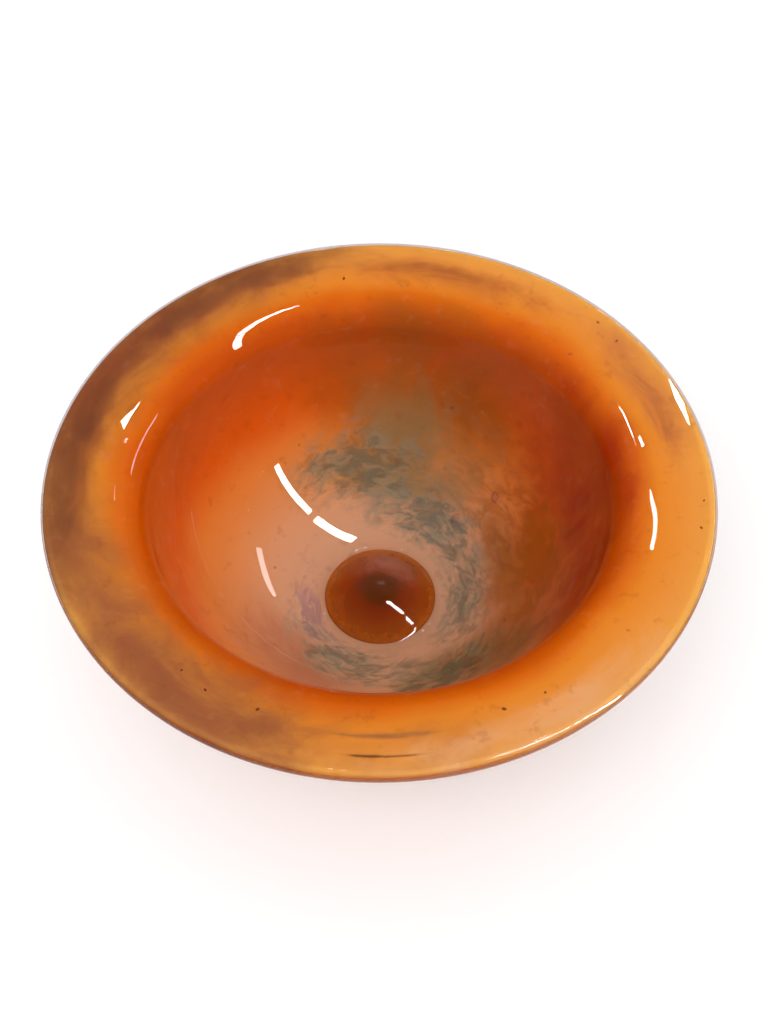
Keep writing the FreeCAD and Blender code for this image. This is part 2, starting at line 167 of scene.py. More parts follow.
def height_at(reach, depth):
    """Height of the surface that lies a set depth below the upper one."""
    if reach <= FLAT_RADIUS:
        return FLOOR - depth
    side_limit = SIDE_CENTRE.x + (SIDE_RADIUS + depth) * math.cos(SIDE_END)
    if reach < side_limit:
        return SIDE_CENTRE.y - math.sqrt((SIDE_RADIUS + depth)**2
                                         - (reach - FLAT_RADIUS)**2)
    radius = BEND_RADIUS - depth
    bend_limit = BEND_CENTRE.x - radius * math.sin(RIM_SLOPE)
    if reach < bend_limit:
        return BEND_CENTRE.y + math.sqrt(max(radius**2 - (BEND_CENTRE.x - reach)**2, 0))
    return (BEND_CENTRE.y + radius * math.cos(RIM_SLOPE)
            + (reach - bend_limit) * math.tan(RIM_SLOPE))


# ---------------------------------------------------------------- modelling by hand


def rest_hands():
    if bpy.context.mode != "OBJECT":
        bpy.ops.object.mode_set(mode="OBJECT")
    bpy.ops.object.select_all(action="DESELECT")


def turn_on_lathe(name, outline, steps=192):
    """Draw an outline vertex by vertex in the section plane and spin it about the axis."""
    rest_hands()
    start = outline[0]
    bpy.ops.mesh.primitive_plane_add(size=0.001, location=(start.x, 0, start.y))
    piece = bpy.context.active_object
    piece.name = name
    bpy.ops.object.transform_apply(location=True, rotation=True, scale=True)
    bpy.ops.object.mode_set(mode="EDIT")
    bpy.ops.mesh.select_mode(type="VERT")
    bpy.ops.mesh.select_all(action="SELECT")
    bpy.ops.mesh.merge(type="CENTER")
    here = start
    for place in outline[1:]:
        step = place - here
        bpy.ops.mesh.extrude_region_move(
            TRANSFORM_OT_translate={"value": (step.x, 0, step.y)})
        here = place
    bpy.ops.mesh.select_all(action="SELECT")
    bpy.ops.mesh.spin(steps=steps, angle=2 * math.pi, center=(0, 0, 0), axis=(0, 0, 1))
    bpy.ops.mesh.select_all(action="SELECT")
    bpy.ops.mesh.remove_doubles(threshold=2e-6)
    bpy.ops.mesh.normals_make_consistent(inside=False)
    bpy.ops.object.mode_set(mode="OBJECT")
    bpy.ops.object.shade_smooth()
    return piece


# Where the unevenness starts for each direction, so that it is the same every time.
STRAY_STARTS = [Vector((0.4, 9.2, 3.7)), Vector((31.4, 12.7, 5.9)), Vector((7.3, 48.1, 22.6))]


def stray(place, fineness):
    return Vector([noise.noise(place * fineness + start) for start in STRAY_STARTS])


def hand_blown(place, strength):
    """Slow unevenness that a blown wall has, as a shift of one place in the glass."""
    return (stray(place, 16.0) * 0.8 + stray(place, 42.0) * 0.25) * strength


UNEVENNESS = 0.00022         # how far blown glass strays
STEADY_BELOW = 0.004         # the foot and the round edge don't stray
FREE_ABOVE = 0.024
FREE_WITHIN = 0.110
STEADY_PAST = 0.1225


def make_uneven(piece):
    """Shift a piece with the wall around it, and not at all at the foot and the round edge."""
    for vertex in piece.data.vertices:
        reach = vertex.co.xy.length
        ease = min(max((vertex.co.z - STEADY_BELOW) / (FREE_ABOVE - STEADY_BELOW), 0.0), 1.0)
        if reach >= FREE_WITHIN:
            ease *= max(0.0, (STEADY_PAST - reach) / (STEADY_PAST - FREE_WITHIN))
        vertex.co += hand_blown(vertex.co, UNEVENNESS * ease)


# ---------------------------------------------------------------- shader help


def value_input(group, name, default, low=-1000.0, high=1000.0):
    socket = group.interface.new_socket(name, in_out="INPUT", socket_type="NodeSocketFloat")
    socket.default_value = default
    socket.min_value = low
    socket.max_value = high


def new_group(name, inputs, outputs):
    group = bpy.data.node_groups.new(name, "ShaderNodeTree")
    for label, default in inputs:
        value_input(group, label, default)
    for label, kind in outputs:
        group.interface.new_socket(label, in_out="OUTPUT", socket_type=kind)
    start = group.nodes.new("NodeGroupInput")
    end = group.nodes.new("NodeGroupOutput")
    return group, start, end


def math_node(tree, operation, *values, clamp=False):
    """Maths on sockets or plain numbers. Returns the output socket."""
    node = tree.nodes.new("ShaderNodeMath")
    node.operation = operation
    node.use_clamp = clamp
    for socket, value in zip(node.inputs, values):
        if isinstance(value, (int, float)):
            socket.default_value = value
        else:
            tree.links.new(value, socket)
    return node.outputs[0]


def smooth_step(tree, value, start, end):
    """0 at start, 1 at end, eased between. Start may be the larger."""
    node = tree.nodes.new("ShaderNodeMapRange")
    node.interpolation_type = "SMOOTHSTEP"
    for label, entry in (("Value", value), ("From Min", start), ("From Max", end)):
        if isinstance(entry, (int, float)):
            node.inputs[label].default_value = entry
        else:
            tree.links.new(entry, node.inputs[label])
    return node.outputs["Result"]


def noise_node(tree, vector, scale, detail=3.0, roughness=0.55, distortion=0.0):
    node = tree.nodes.new("ShaderNodeTexNoise")
    node.inputs["Scale"].default_value = scale
    node.inputs["Detail"].default_value = detail
    node.inputs["Roughness"].default_value = roughness
    node.inputs["Distortion"].default_value = distortion
    tree.links.new(vector, node.inputs["Vector"])
    return node


def mix_colour(tree, factor, first, second, blend="MIX"):
    node = tree.nodes.new("ShaderNodeMix")
    node.data_type = "RGBA"
    node.blend_type = blend
    sockets = (node.inputs["Factor"], node.inputs[6], node.inputs[7])
    for socket, value in zip(sockets, (factor, first, second)):
        if isinstance(value, (int, float)):
            socket.default_value = value
        elif isinstance(value, tuple):
            socket.default_value = (*value, 1.0)
        else:
            tree.links.new(value, socket)
    return node.outputs[2]


def ramp(tree, value, stops):
    node = tree.nodes.new("ShaderNodeValToRGB")
    points = node.color_ramp.elements
    while len(points) < len(stops):
        points.new(0.5)
    for point, (place, colour) in zip(points, stops):
        point.position = place
        point.color = (*colour, 1.0)
    tree.links.new(value, node.inputs["Fac"])
    return node.outputs["Color"]


def screen(red, green, blue):
    """Colour given as it looks on a screen, 0 to 255, made linear."""
    def linear(part):
        part /= 255
        return part / 12.92 if part <= 0.04045 else ((part + 0.055) / 1.055)**2.4
    return (linear(red), linear(green), linear(blue))


def group_node(tree, group):
    node = tree.nodes.new("ShaderNodeGroup")
    node.node_tree = group
    return node


def build_place_group():
    """Place on the bowl: how far from the axis, and the bearing in degrees."""
    group, _, end = new_group("Place on the bowl", [], [
        ("Reach", "NodeSocketFloat"), ("Bearing", "NodeSocketFloat"),
        ("Height", "NodeSocketFloat"), ("Place", "NodeSocketVector")])
    coordinates = group.nodes.new("ShaderNodeTexCoord")
    split = group.nodes.new("ShaderNodeSeparateXYZ")
    group.links.new(coordinates.outputs["Object"], split.inputs[0])
    squares = [math_node(group, "MULTIPLY", split.outputs[i], split.outputs[i]) for i in (0, 1)]
    reach = math_node(group, "SQRT", math_node(group, "ADD", *squares))
    angle = math_node(group, "ARCTAN2", split.outputs[1], split.outputs[0])
    group.links.new(reach, end.inputs["Reach"])
    group.links.new(math_node(group, "DEGREES", angle), end.inputs["Bearing"])
    group.links.new(split.outputs[2], end.inputs["Height"])
    group.links.new(coordinates.outputs["Object"], end.inputs["Place"])
    return group


PLACE_GROUP = build_place_group()


def build_wisp_group():
    """Soft mottled patch of colour, bent about the bowl's axis."""
    group, start, end = new_group("Wisp of colour", [
        ("Reach", 0.05), ("Half Breadth", 0.006), ("Bearing", 0.0), ("Half Angle", 20.0),
        ("Raggedness", 0.5), ("Grain", 60.0), ("Streak", 0.3)], [("Mask", "NodeSocketFloat")])
    place = group_node(group, PLACE_GROUP)
    off_reach = math_node(group, "DIVIDE", math_node(
        group, "SUBTRACT", place.outputs["Reach"], start.outputs["Reach"]),
        start.outputs["Half Breadth"])
    turned = math_node(group, "SUBTRACT", place.outputs["Bearing"], start.outputs["Bearing"])
    wrapped = math_node(group, "WRAP", turned, -180.0, 180.0)
    off_angle = math_node(group, "DIVIDE", wrapped, start.outputs["Half Angle"])
    around = math_node(group, "MULTIPLY", math_node(group, "RADIANS", wrapped),
                       place.outputs["Reach"])
    grain_place = group.nodes.new("ShaderNodeCombineXYZ")
    group.links.new(place.outputs["Reach"], grain_place.inputs[0])
    group.links.new(math_node(group, "MULTIPLY", around, start.outputs["Streak"]),
                    grain_place.inputs[1])
    group.links.new(math_node(group, "MULTIPLY", place.outputs["Height"], 0.5),
                    grain_place.inputs[2])
    mottle = noise_node(group, grain_place.outputs[0], 60.0, 5.0, 0.62, 0.8)
    group.links.new(start.outputs["Grain"], mottle.inputs["Scale"])
    away = math_node(group, "SQRT", math_node(
        group, "ADD", math_node(group, "MULTIPLY", off_reach, off_reach),
        math_node(group, "MULTIPLY", off_angle, off_angle)))
    shake = math_node(group, "MULTIPLY", math_node(
        group, "SUBTRACT", mottle.outputs["Fac"], 0.5), start.outputs["Raggedness"])
    filled = math_node(group, "ADD", math_node(
        group, "MULTIPLY", math_node(group, "SUBTRACT", 1.0, away), 0.62), shake)
    mask = math_node(group, "MULTIPLY", smooth_step(group, filled, 0.0, 0.75),
                     smooth_step(group, away, 1.0, 0.45))
    group.links.new(mask, end.inputs["Mask"])
    return group


WISP_GROUP = build_wisp_group()


def wisp(tree, reach, half, bearing_degrees, half_angle, raggedness, grain, streak):
    node = group_node(tree, WISP_GROUP)
    values = (reach, half, bearing_degrees, half_angle, raggedness, grain, streak)
    for socket, value in zip(node.inputs, values):
        socket.default_value = value
    return node.outputs["Mask"]


# Colours of the glass from the middle of the floor out to the rim's edge, as reach in metres. The
# near-white over the floor is partly the floor's paler colour and partly painted light, standing
# in for the lit floor seen through the bowl's bottom.
GLASS_COLOURS_AND_PAINTED_LIGHT = [
    (0.000, screen(250, 214, 176)),
    (0.036, screen(250, 210, 170)),
    (0.050, screen(252, 204, 154)),
    (0.062, screen(252, 190, 116)),
    (0.074, screen(252, 172, 74)),
    (0.083, screen(246, 126, 4)),
    (0.091, screen(230, 114, 1)),
    (0.098, screen(242, 144, 4)),
    (0.104, screen(250, 178, 50)),
    (0.115, screen(252, 192, 88)),
    (0.124, screen(252, 198, 92)),
]

# Clouds of colour in the glass, two of them partly painted shade: (colour, reach, half
# breadth, bearing, half angle, amount, raggedness, grain)
CLOUDS = [
    # Partly painted shade: the right wall's deep red stands in for the darkening that its slant
    # and the darker room behind give it.
    (screen(202, 52, 1), 0.083, 0.024, 4.0, 62.0, 1.0, 1.2, 34),
    (screen(214, 102, 1), 0.066, 0.026, -6.0, 52.0, 0.9, 1.2, 34),
    # Partly painted shade: the far wall's brown stands in for the shade that falls on it.
    (screen(190, 120, 24), 0.082, 0.022, 78.0, 58.0, 0.95, 1.2, 34),
    (screen(190, 160, 104), 0.064, 0.030, 76.0, 52.0, 0.9, 1.6, 60),
    (screen(204, 134, 10), 0.056, 0.022, 6.0, 44.0, 0.9, 1.6, 60),
    (screen(176, 120, 44), 0.060, 0.030, -48.0, 50.0, 0.9, 1.2, 34),
    (screen(220, 150, 104), 0.056, 0.028, -130.0, 62.0, 0.8, 1.2, 34),
    (screen(188, 178, 144), 0.060, 0.021, 96.0, 48.0, 0.8, 3.2, 170),
    (screen(182, 178, 150), 0.044, 0.019, 56.0, 64.0, 0.8, 3.4, 210),
    (screen(190, 178, 142), 0.036, 0.014, -8.0, 60.0, 0.7, 3.4, 210),
    (screen(174, 164, 116), 0.050, 0.017, -62.0, 46.0, 0.8, 3.2, 210),
    (screen(198, 190, 156), 0.038, 0.016, -116.0, 66.0, 0.8, 3.4, 210),
    (screen(172, 100, 52), 0.120, 0.030, 152.0, 92.0, 1.0, 1.0, 40),
    (screen(150, 86, 44), 0.122, 0.017, 122.0, 36.0, 0.95, 1.0, 50),
    (screen(146, 84, 46), 0.120, 0.019, 184.0, 40.0, 0.95, 1.0, 50),
    (screen(184, 120, 74), 0.113, 0.028, -128.0, 84.0, 0.95, 1.2, 40),
    (screen(250, 212, 160), 0.119, 0.014, -62.0, 44.0, 0.8, 1.4, 60),
    (screen(216, 146, 92), 0.114, 0.014, 22.0, 34.0, 0.7, 1.4, 50),
    (screen(214, 136, 60), 0.110, 0.012, 74.0, 38.0, 0.6, 2.0, 60),
]


def build_glass_colour_and_painted_light_group():
    """Colour of the cased glass over the whole bowl, with painted light over the floor and
    painted shade on the right and far walls.
    """
    group, _, end = new_group("Colour in the glass", [], [
        ("Colour", "NodeSocketColor")])
    place = group_node(group, PLACE_GROUP)
    drift = noise_node(group, place.outputs["Place"], 22.0, 3.0, 0.5, 0.4)
    drifted = math_node(group, "ADD", place.outputs["Reach"], math_node(
        group, "MULTIPLY", math_node(group, "SUBTRACT", drift.outputs["Fac"], 0.5), 0.010))
    across = math_node(group, "DIVIDE", drifted, RIM_RADIUS)
    colour = ramp(group, across, [(reach / RIM_RADIUS, tint) for reach, tint in GLASS_COLOURS_AND_PAINTED_LIGHT])
    for tint, reach, half, angle, half_angle, amount, raggedness, grain in CLOUDS:
        mask = wisp(group, reach, half, angle, half_angle, raggedness, grain, 0.6)
        factor = math_node(group, "MULTIPLY", mask, amount)
        colour = mix_colour(group, factor, colour, tint)
    speckle = noise_node(group, place.outputs["Place"], 170.0, 4.0, 0.6, 0.2)
    paler = smooth_step(group, speckle.outputs["Fac"], 0.56, 0.72)
    colour = mix_colour(group, math_node(group, "MULTIPLY", paler, 0.12), colour,
                        screen(244, 196, 140))
    darker = smooth_step(group, speckle.outputs["Fac"], 0.42, 0.28)
    colour = mix_colour(group, math_node(group, "MULTIPLY", darker, 0.20), colour,
                        screen(150, 78, 30))
    group.links.new(colour, end.inputs["Colour"])
    return group


GLASS_COLOUR_AND_PAINTED_LIGHT_GROUP = build_glass_colour_and_painted_light_group()


def new_material(name):
    material = bpy.data.materials.new(name)
    material.use_nodes = True
    tree = material.node_tree
    return material, tree, tree.nodes["Principled BSDF"], tree.nodes["Material Output"]


def casing_glass():
    """Clear glass with a little of the colour below showing in it, and a painted shade on the
    lip's near side.
    """
    material, tree, shader, _ = new_material("cased_glass")
    colour = group_node(tree, GLASS_COLOUR_AND_PAINTED_LIGHT_GROUP)
    place = group_node(tree, PLACE_GROUP)
    strength = smooth_step(tree, place.outputs["Reach"], 0.1235, 0.1215)
    above_foot = smooth_step(tree, place.outputs["Height"], 0.0065, 0.0105)
    amount = math_node(tree, "MULTIPLY", math_node(tree, "MULTIPLY", strength, above_foot), 0.35)
    tint = mix_colour(tree, amount, screen(246, 240, 248), colour.outputs["Colour"])
    # Painted shade: the lip is tinted a darker pinkish red on its near side.
    near_lip_painted_shade = wisp(tree, 0.1250, 0.0022, -92.0, 120.0, 0.2, 60.0, 1.0)
    tint = mix_colour(tree, near_lip_painted_shade, tint, screen(196, 120, 116))
    tree.links.new(tint, shader.inputs["Base Color"])
    shader.inputs["Roughness"].default_value = 0.0
    shader.inputs["IOR"].default_value = 1.5
    shader.inputs["Transmission Weight"].default_value = 1.0
    return material


def inner_colour(name, colour, amount, mask=None):
    """Colour held between clear layers, as a veil that covers by a set amount."""
    material, tree, shader, _ = new_material(name)
    shader.inputs["Roughness"].default_value = 0.7
    shader.inputs["Specular IOR Level"].default_value = 0.0
    if isinstance(colour, tuple):
        shader.inputs["Base Color"].default_value = (*colour, 1.0)
    else:
        source = group_node(tree, colour)
        tree.links.new(source.outputs["Colour"], shader.inputs["Base Color"])
    if mask is None:
        shader.inputs["Alpha"].default_value = amount
    else:
        tree.links.new(math_node(tree, "MULTIPLY", mask(tree), amount), shader.inputs["Alpha"])
    return material


def soak_colour(material, colour, density):
    """Colour that clear glass takes from what passes through it."""
    tree = material.node_tree
    volume = tree.nodes.new("ShaderNodeVolumeAbsorption")
    volume.inputs["Color"].default_value = (*colour, 1.0)
    volume.inputs["Density"].default_value = density
    tree.links.new(volume.outputs[0], tree.nodes["Material Output"].inputs["Volume"])


# ---------------------------------------------------------------- pieces


def finish_piece(piece, material, slot, *nodes):
    piece.data.materials.clear()
    piece.data.materials.append(material)
    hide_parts(*nodes)
    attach(piece, "root")


def fillet_centre(reach, depth):
    """Centre of a fillet at a set reach, lying a set depth below the bowl's upper surface."""
    return Vector((reach, SIDE_CENTRE.y - math.sqrt(
        (SIDE_RADIUS + depth)**2 - (reach - FLAT_RADIUS)**2)))


def casing_outline():
    """Clear glass from the dome's top over the rim and back to the middle of the foot."""
    blend_centre = crossing(DOME_CENTRE, DOME_SPHERE + DOME_BLEND,
                            SIDE_CENTRE, SIDE_RADIUS - DOME_BLEND)
    meet_dome = bearing(DOME_CENTRE, blend_centre)
    meet_floor = bearing(SIDE_CENTRE, blend_centre)
    dome = arc(DOME_CENTRE, DOME_SPHERE, math.pi / 2, meet_dome, 20)
    blend = arc(blend_centre, DOME_BLEND, meet_dome - math.pi, meet_floor, 8)
    upper = joined(dome, blend, side_line(0, meet_floor), bend_line(0), rim_line(0, LIP_CREASE))
    edge = arc(LIP, WALL / 2, math.pi / 2 + RIM_SLOPE, RIM_SLOPE - math.pi / 2, 20)
    foot_radius = FOOT_HIGH[0]
    foot_meet = fillet_centre(foot_radius + FOOT_FILLET, WALL + FOOT_FILLET)
    meet = bearing(SIDE_CENTRE, foot_meet)
    under = joined(rim_line(WALL, LIP_CREASE)[::-1], bend_line(WALL)[::-1],
                   arc(SIDE_CENTRE, SIDE_RADIUS + WALL, SIDE_END, meet, 30))
    fillet = arc(foot_meet, FOOT_FILLET, meet + math.pi, math.pi, 6)
    ground = arc(Vector((foot_radius - FOOT_ROUND, FOOT_ROUND)), FOOT_ROUND,
                 0, -math.pi / 2, 8)
    pontil_sphere = (PONTIL_RADIUS**2 + PONTIL_DEPTH**2) / (2 * PONTIL_DEPTH)
    pontil_centre = Vector((0, PONTIL_DEPTH - pontil_sphere))
    pontil_edge = bearing(pontil_centre, Vector((PONTIL_RADIUS, 0)))
    pontil = arc(pontil_centre, pontil_sphere, pontil_edge, math.pi / 2, 16)
    return joined(upper, edge, under, fillet, ground,
                  straight(Vector((foot_radius - FOOT_ROUND, 0)),
                           Vector((PONTIL_RADIUS, 0)), 5), pontil)


# Seed bubbles: reach, bearing, depth, length, breadth and height of each.
SEEDS = [
    (0.0488, 46, 0.0007, 0.0046, 0.0036, 0.0008), (0.0640, 37, 0.0007, 0.0050, 0.0034, 0.0008),
    (0.0630, 62, 0.0008, 0.0014, 0.0012, 0.0006), (0.0800, 66, 0.0008, 0.0016, 0.0012, 0.0006),
    (0.0560, -22, 0.0009, 0.0013, 0.0011, 0.0006), (0.0470, 168, 0.0009, 0.0016, 0.0012, 0.0006),
    (0.0360, 205, 0.0008, 0.0012, 0.0010, 0.0005), (0.0720, 120, 0.0009, 0.0012, 0.0010, 0.0005),
    (0.0990, 38, 0.0009, 0.0020, 0.0012, 0.0006), (0.1100, -40, 0.0009, 0.0014, 0.0010, 0.0005),
]


def lay_copies(model, beds):
    """Copy a small model onto beds in the glass, join the copies, and remove the model.

    Each bed is reach, bearing in degrees, depth, the three sizes, and a turn in radians.
    """
    copies = []
    for reach, degrees, depth, sizes, turned in beds:
        rest_hands()
        model.select_set(True)
        bpy.context.view_layer.objects.active = model
        bpy.ops.object.duplicate()
        piece = bpy.context.active_object
        angle = math.radians(degrees)
        rise = height_at(reach + 0.0005, depth) - height_at(reach - 0.0005, depth)
        turn = (Matrix.Rotation(angle, 3, "Z") @ Matrix.Rotation(-math.atan2(rise, 0.001), 3, "Y")
                @ Matrix.Rotation(turned, 3, "Z"))
        piece.location = (reach * math.cos(angle), reach * math.sin(angle),
                          height_at(reach, depth))
        piece.rotation_euler = turn.to_euler()
        piece.scale = sizes
        copies.append(piece)
    rest_hands()
    model.select_set(True)
    bpy.ops.object.delete()
    for piece in copies:
        piece.select_set(True)
    bpy.context.view_layer.objects.active = copies[0]
    bpy.ops.object.join()
    bpy.ops.object.transform_apply(location=True, rotation=True, scale=True)
    bpy.ops.object.shade_smooth()
    return bpy.context.active_object


def make_seeds():
    """Bubbles of air in the inner casing, as hollows whose faces look into the air."""
    rest_hands()
    bpy.ops.mesh.primitive_uv_sphere_add(segments=28, ring_count=14, radius=0.5)
    bubbles = lay_copies(bpy.context.active_object, [
        (reach, degrees, depth, sizes, number * 0.7)
        for number, (reach, degrees, depth, *sizes) in enumerate(SEEDS)])
    bpy.ops.object.mode_set(mode="EDIT")
    bpy.ops.mesh.select_all(action="SELECT")
    bpy.ops.mesh.normals_make_consistent(inside=True)
    bpy.ops.object.mode_set(mode="OBJECT")
    return bubbles


def make_casing():
    piece = turn_on_lathe("glass_casing", casing_outline())
    rest_hands()
    bubbles = make_seeds()
    piece.select_set(True)
    bpy.context.view_layer.objects.active = piece
    bpy.ops.object.join()
    make_uneven(piece)
    finish_piece(piece, casing_glass(), "clear_glass",
                 "inner_casing", "outer_casing", "lip_wrap", "foot_disc")
    return piece


def make_core():
    """Layer of orange colour all through the wall, thinned out over the floor."""
    def line(depth):
        return joined(floor_line(depth), side_line(depth), bend_line(depth),
                      rim_line(depth, -COLOUR_PAST_LIP))

    upper = line(INNER)
    lower = []
    for above, below in zip(upper, line(INNER + CORE)):
        share = min(max((above.x - THIN_TO) / (FULL_FROM - THIN_TO), 0.0), 1.0)
        lower.append(above.lerp(below, THINNEST + (1 - THINNEST) * share))
    piece = turn_on_lathe("orange_layer", upper + lower[::-1])
    make_uneven(piece)

    def cover(tree):
        place = group_node(tree, PLACE_GROUP)
        return math_node(tree, "MULTIPLY_ADD", smooth_step(
            tree, place.outputs["Reach"], 0.045, 0.085), 0.18, 0.60)

    orange = inner_colour("orange_glass", GLASS_COLOUR_AND_PAINTED_LIGHT_GROUP, 1.0, cover)
    soak_colour(orange, (0.98, 0.50, 0.03), 2000.0)
    finish_piece(piece, orange, "orange_glass", "orange_core")


def button_colour():
    """Amber with a dark heart, a painted lavender-brown reflection on its far side and red
    patches.
    """
    material = inner_colour("deep_amber_glass", (0.5, 0.2, 0.05), 0.55)
    tree = material.node_tree
    place = group_node(tree, PLACE_GROUP)
    swirl = noise_node(tree, place.outputs["Place"], 150.0, 4.0, 0.55, 1.0)
    wavy = math_node(tree, "ADD", place.outputs["Reach"], math_node(
        tree, "MULTIPLY", math_node(tree, "SUBTRACT", swirl.outputs["Fac"], 0.5), 0.010))
    colour = ramp(tree, math_node(tree, "DIVIDE", wavy, BUTTON_RADIUS), [
        (0.00, screen(112, 66, 14)), (0.26, screen(116, 66, 12)), (0.40, screen(168, 62, 6)),
        (0.62, screen(186, 84, 8)), (0.86, screen(214, 118, 18)), (1.00, screen(224, 134, 50))])
    # Painted reflection: a lavender-brown sheen laid over the dome's far side.
    far_side_painted_reflection = wisp(tree, 0.0130, 0.0100, 78.0, 112.0, 0.8, 90.0, 1.0)
    colour = mix_colour(tree, math_node(tree, "MULTIPLY", far_side_painted_reflection, 0.85), colour,
                        screen(212, 156, 136))
    tree.links.new(colour, tree.nodes["Principled BSDF"].inputs["Base Color"])
    soak_colour(material, (0.85, 0.45, 0.05), 90.0)
    return material


BUTTON_GAP = 0.00006         # keeps the button's skin off the orange


def make_button():
    """Solid amber lens under the dome."""
    sphere = BUTTON_SPHERE - BUTTON_GAP
    side = SIDE_RADIUS + INNER - BUTTON_GAP
    edge = crossing(DOME_CENTRE, sphere, SIDE_CENTRE, side)
    cap = arc(DOME_CENTRE, sphere, math.pi / 2, bearing(DOME_CENTRE, edge), 20)
    under = arc(SIDE_CENTRE, side, bearing(SIDE_CENTRE, edge), -math.pi / 2, 6)
    outline = joined(cap, under, floor_line(INNER - BUTTON_GAP)[::-1])
    piece = turn_on_lathe("amber_button", outline, 96)
    make_uneven(piece)
    finish_piece(piece, button_colour(), "deep_amber_glass", "base_button")


# (CAD node, slot, colour, reach, half breadth, from, to, amount, raggedness, grain, bed)
TRAILS = [
    ("grey_green_trail_far", "grey_green_glass", screen(144, 144, 112),
     0.0600, 0.0160, 60, 138, 0.22, 3.4, 250, 0),
    ("grey_green_trail_upper", "grey_green_glass", screen(146, 156, 134),
     0.0440, 0.0160, 12, 108, 0.26, 3.4, 280, 1),
    ("grey_green_trail_right", "grey_green_glass", screen(150, 154, 128),
     0.0387, 0.0130, -60, 60, 0.22, 3.4, 280, 0),
    ("grey_green_trail_near_right", "grey_green_glass", screen(130, 130, 92),
     0.0528, 0.0130, -98, -16, 0.26, 3.4, 250, 2),
    ("grey_green_trail_near", "grey_green_glass", screen(152, 160, 130),
     0.0396, 0.0130, -158, -52, 0.24, 3.4, 280, 1),
    ("amber_swirl", "mustard_amber_glass", screen(226, 140, 2),
     0.0651, 0.0200, -58, 72, 0.24, 2.6, 200, 3),
    ("violet_cloud", "violet_glass", screen(204, 164, 184),
     0.0317, 0.0110, 146, 260, 0.24, 3.0, 300, 0),
    ("smoky_patch_left", "smoky_brown_glass", screen(170, 100, 58),
     0.1150, 0.0095, 146, 208, 0.24, 1.4, 70, 0),
    ("smoky_patch_far_left", "smoky_brown_glass", screen(170, 104, 72),
     0.1152, 0.0095, 86, 164, 0.22, 1.4, 70, 1),
    ("smoky_streak_far", "smoky_brown_glass", screen(196, 124, 66),
     0.1120, 0.0055, 42, 106, 0.16, 2.2, 110, 0),
    ("smoky_patch_right", "smoky_brown_glass", screen(206, 130, 84),
     0.1124, 0.0065, -8, 36, 0.14, 2.0, 110, 0),
    # These two are painted light and shade: a dark streak and a greyish crescent across the near
    # rim, in place of the bowl's body and its shadow seen through the rim.
    ("smoky_streak_near", "smoky_brown_glass", screen(116, 80, 46),
     0.1165, 0.0009, -100, -80, 0.50, 1.2, 260, 0),
    ("smoky_crescent_near", "smoky_brown_glass", screen(176, 146, 110),
     0.1088, 0.0019, -104, -76, 0.34, 1.0, 160, 0),
]


# Trails keep clear of the button and of the round edge, and sway by a share of their breadth.
TRAIL_INNERMOST = BUTTON_RADIUS + 0.0008
TRAIL_OUTERMOST = LIP.x - 0.0004
SWAY = 0.12
# Trails that cross lie on different beds in the clear glass above the orange.
TRAIL_DEEPEST = 0.00168
TRAIL_STEP = 0.00012
TRAIL_THICKNESS = 0.00008


def make_trail(node, slot, colour, reach, half, start, end, amount, raggedness, grain, bed):
    """Wavy spindle of colour laid on the core and thinned to nothing at its edges."""
    rest_hands()
    bpy.ops.mesh.primitive_grid_add(x_subdivisions=max(int((end - start) / 1.2), 12),
                                    y_subdivisions=10, size=1.0)
    piece = bpy.context.active_object
    piece.name = node + "_wisp"
    depth = TRAIL_DEEPEST - TRAIL_STEP * bed
    inwards = min(half, (reach - TRAIL_INNERMOST) / (1 + SWAY))
    outwards = min(half, (TRAIL_OUTERMOST - reach) / (1 + SWAY))
    for vertex in piece.data.vertices:
        along, across = vertex.co.x * 2, vertex.co.y * 2
        taper = math.sqrt(max(1 - along**2, 0.03))
        off = across * taper + SWAY * math.sin(along * 5.1 + reach * 400)
        away = reach + off * (outwards if off > 0 else inwards)
        angle = math.radians((start + end) / 2 + (end - start) / 2 * along)
        vertex.co = Vector((away * math.cos(angle), away * math.sin(angle),
                            height_at(away, depth)))
    make_uneven(piece)
    solid = piece.modifiers.new("thickness", "SOLIDIFY")
    solid.thickness = TRAIL_THICKNESS
    solid.offset = 0.0
    bpy.ops.object.modifier_apply(modifier=solid.name)
    bpy.ops.object.mode_set(mode="EDIT")
    bpy.ops.mesh.select_all(action="SELECT")
    bpy.ops.mesh.normals_make_consistent(inside=False)
    bpy.ops.object.mode_set(mode="OBJECT")
    bpy.ops.object.shade_smooth()

    def mask(tree):
        return wisp(tree, reach, half, (start + end) / 2, (end - start) / 2, raggedness,
                    grain, 0.4)

    finish_piece(piece, inner_colour(node + "_glass", colour, amount, mask), slot, node)


# Reach and bearing of each crumb of frit.
FRIT_PLACES = [(0.1073, -128), (0.1086, -122), (0.1069, -112), (0.1073, -68), (0.1082, -60),
               (0.1171, 34), (0.1182, 40), (0.1062, 98), (0.1199, -8), (0.1193, -14)]


def make_frit():
    """Small brown crumbs of frit in the rim, over the colour."""
    rest_hands()
    bpy.ops.mesh.primitive_ico_sphere_add(subdivisions=2, radius=1.0)
    beds = []
    for number, (reach, degrees) in enumerate(FRIT_PLACES):
        size = 0.00042 + 0.00007 * (number % 4)
        beds.append((reach, degrees, 0.0012, (1.4 * size, 0.9 * size, 0.6 * size), number * 1.3))
    piece = lay_copies(bpy.context.active_object, beds)
    piece.name = "frit_crumbs"
    make_uneven(piece)
    finish_piece(piece, inner_colour("dark_frit_glass", screen(150, 70, 24), 0.45),
                 "dark_frit_glass", "frit_specks")


# ---------------------------------------------------------------- studio


